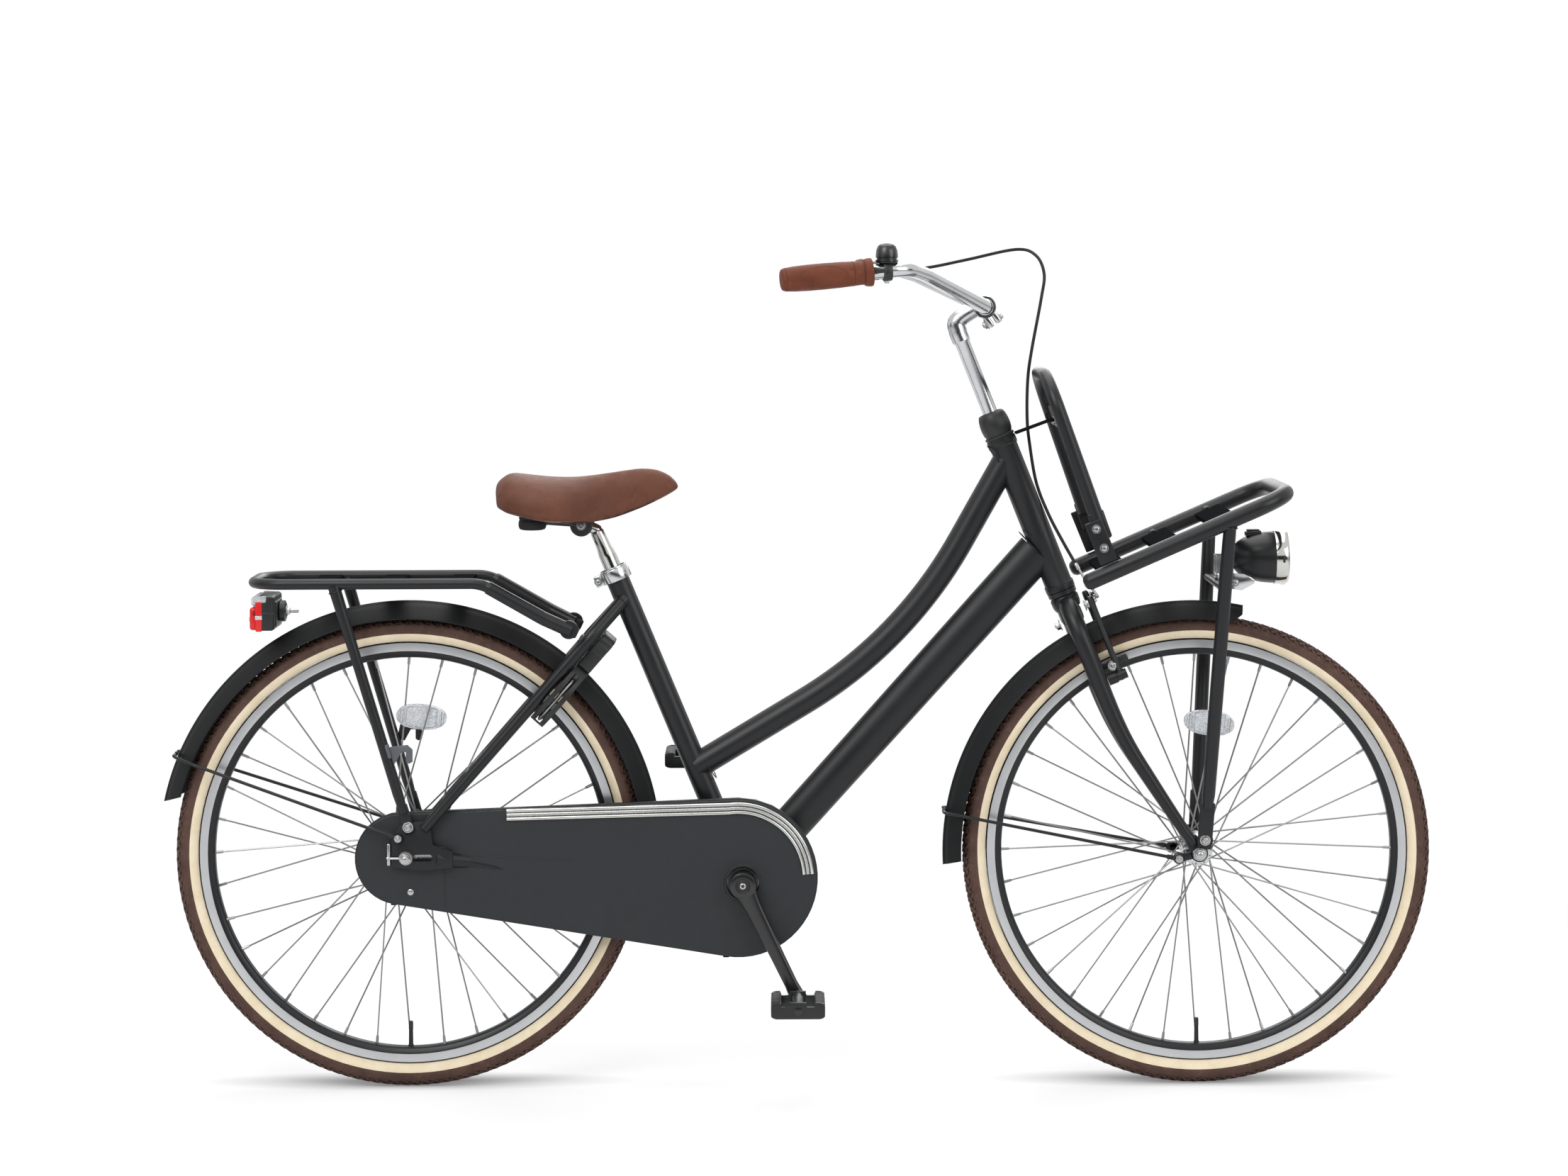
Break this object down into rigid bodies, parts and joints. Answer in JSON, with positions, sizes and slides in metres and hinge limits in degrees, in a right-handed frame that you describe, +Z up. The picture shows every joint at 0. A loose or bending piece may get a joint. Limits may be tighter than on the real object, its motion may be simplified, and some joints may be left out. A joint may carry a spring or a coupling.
{
  "type": "city bicycle",
  "caption": "Upright step-through city bicycle with a rack over each wheel, a full chain case, fenders, a ring lock, lamps and swept-back handlebars.",
  "frame": {"origin": "middle of the bounding box's footprint, on the ground", "axes": "+X forward, +Y to the bicycle's left, +Z up"},
  "size_m": [1.9106, 0.6418, 1.2672],
  "materials": {
    "frame_paint": "satin black paint",
    "case_plastic": "dark slate grey, matt",
    "tyre": "brown tread with cream sidewalls",
    "rim": "black anodised with a bare brake track",
    "silver": "satin silver",
    "steel": "zinc plated",
    "chrome": "polished",
    "saddle_leather": "brown, fine grain",
    "grip_leather": "brown, stitched",
    "black_plastic": "black",
    "black_gloss": "glossy black",
    "clear": "clear",
    "red": "clear red"
  },
  "bodies": {
    "frame": {"head_tube": "frame_paint", "top_tube": "frame_paint", "down_tube": "frame_paint", "seat_tube": "frame_paint", "chainstays": "frame_paint", "seatstays": "frame_paint", "seat_collar": "chrome", "chain_case_cover": "case_plastic", "chain_case_back": "case_plastic", "chain_case_trim": "chrome", "chain": "steel", "rear_fender": "black_plastic", "rear_fender_stay": "frame_paint", "rear_rack": "frame_paint", "rear_light": "black_plastic", "rear_light_lens": "red", "ring_lock": "black_plastic", "rear_axle": "steel", "coaster_brake_arm": "steel"},
    "steering": {"fork": "frame_paint", "headset_cap": "frame_paint", "stem": "silver", "handlebar": "silver", "grip_left": "grip_leather", "grip_right": "grip_leather", "bell": "black_gloss", "brake_lever_mount": "black_plastic", "brake_cable": "black_plastic", "front_fender": "black_plastic", "front_fender_stay": "frame_paint", "front_carrier": "frame_paint", "carrier_back": "frame_paint", "front_axle": "steel"},
    "headlamp": {"headlamp_housing": "black_gloss", "headlamp_bezel": "chrome", "headlamp_lens": "clear"},
    "headlamp_switch": {"headlamp_switch": "black_plastic"},
    "bell_lever": {"bell_lever": "black_plastic"},
    "brake_lever": {"brake_lever": "black_plastic"},
    "brake_arm_left": {"brake_arm_left": "black_plastic"},
    "brake_arm_right": {"brake_arm_right": "black_plastic"},
    "front_wheel": {"front_tyre": "tyre", "front_rim": "rim", "front_hub": "silver", "front_reflector": "clear"},
    "rear_wheel": {"rear_tyre": "tyre", "rear_rim": "rim", "rear_hub": "silver", "rear_reflector": "clear"},
    "crankset": {"crank_axle": "steel", "crank_right": "black_plastic", "crank_left": "black_plastic", "chainring": "steel"},
    "pedal_right": {"pedal_right": "black_plastic"},
    "pedal_left": {"pedal_left": "black_plastic"},
    "sprocket": {"sprocket": "steel"},
    "lock_bolt": {"lock_bolt": "steel"},
    "seat": {"seatpost": "silver", "saddle_cover": "saddle_leather", "saddle_base": "black_plastic"}
  },
  "joints": [
    {"name": "steering_turn", "type": "hinge", "parent": "frame", "child": "steering", "pos_m": [0.56118, -0.0187, 0.3368], "axis": [-0.3665, 0, 0.9304], "range_deg": [-70, 70]},
    {"name": "front_wheel_spin", "type": "hinge", "parent": "steering", "child": "front_wheel", "pos_m": [0.60231, -0.0187, 0.353], "axis": [0, 1, 0], "continuous": true},
    {"name": "rear_wheel_spin", "type": "hinge", "parent": "frame", "child": "rear_wheel", "pos_m": [-0.58369, -0.0187, 0.353], "axis": [0, 1, 0], "continuous": true},
    {"name": "crank_spin", "type": "hinge", "parent": "frame", "child": "crankset", "pos_m": [-0.08069, -0.0187, 0.311], "axis": [0, 1, 0], "continuous": true},
    {"name": "sprocket_spin", "type": "hinge", "parent": "frame", "child": "sprocket", "pos_m": [-0.58369, -0.0187, 0.353], "axis": [0, 1, 0], "continuous": true},
    {"name": "pedal_right_spin", "type": "hinge", "parent": "crankset", "child": "pedal_right", "pos_m": [0.00041, -0.1492, 0.14472], "axis": [0, 1, 0], "continuous": true},
    {"name": "pedal_left_spin", "type": "hinge", "parent": "crankset", "child": "pedal_left", "pos_m": [-0.16179, 0.1118, 0.47728], "axis": [0, 1, 0], "continuous": true},
    {"name": "brake_lever_pull", "type": "hinge", "parent": "steering", "child": "brake_lever", "pos_m": [0.14385, 0.2707, 1.22646], "axis": [0, 0, 1], "range_deg": [0, 13], "stiffness_Nm_per_rad": 2, "springref_deg": -8.59},
    {"name": "brake_arm_right_turn", "type": "hinge", "parent": "steering", "child": "brake_arm_right", "pos_m": [0.48188, -0.0587, 0.61725], "axis": [-0.9304, 0, -0.3665], "range_deg": [0, 3.4]},
    {"name": "brake_arm_left_turn", "type": "hinge", "parent": "steering", "child": "brake_arm_left", "pos_m": [0.48188, 0.0213, 0.61725], "axis": [0.9304, 0, 0.3665], "range_deg": [0, 3.4]},
    {"name": "seatpost_slide", "type": "slide", "parent": "frame", "child": "seat", "axis": [-0.3843, 0, 0.9232], "range_m": [-0.02, 0.06]},
    {"name": "lock_bolt_turn", "type": "hinge", "parent": "frame", "child": "lock_bolt", "pos_m": [-0.35497, -0.0187, 0.5913], "axis": [0.7505, 0, -0.6609], "range_deg": [0, 84]},
    {"name": "headlamp_tilt", "type": "hinge", "parent": "steering", "child": "headlamp", "pos_m": [0.64841, -0.0187, 0.7916], "axis": [0, 1, 0], "range_deg": [-15, 15]},
    {"name": "headlamp_switch_press", "type": "slide", "parent": "headlamp", "child": "headlamp_switch", "axis": [0, 0, -1], "range_m": [0, 0.0015], "stiffness_N_per_m": 300, "springref_m": -0.001},
    {"name": "bell_lever_flick", "type": "hinge", "parent": "steering", "child": "bell_lever", "pos_m": [0.13275, -0.2945, 1.22688], "axis": [0, 0, 1], "range_deg": [0, 20], "stiffness_Nm_per_rad": 0.05, "springref_deg": -11.46}
  ],
  "couplings": [
    {"joint": "sprocket_spin", "follows": "crank_spin", "ratio": 2},
    {"joint": "brake_arm_right_turn", "follows": "brake_lever_pull", "ratio": 0.26},
    {"joint": "brake_arm_left_turn", "follows": "brake_lever_pull", "ratio": 0.26}
  ]
}
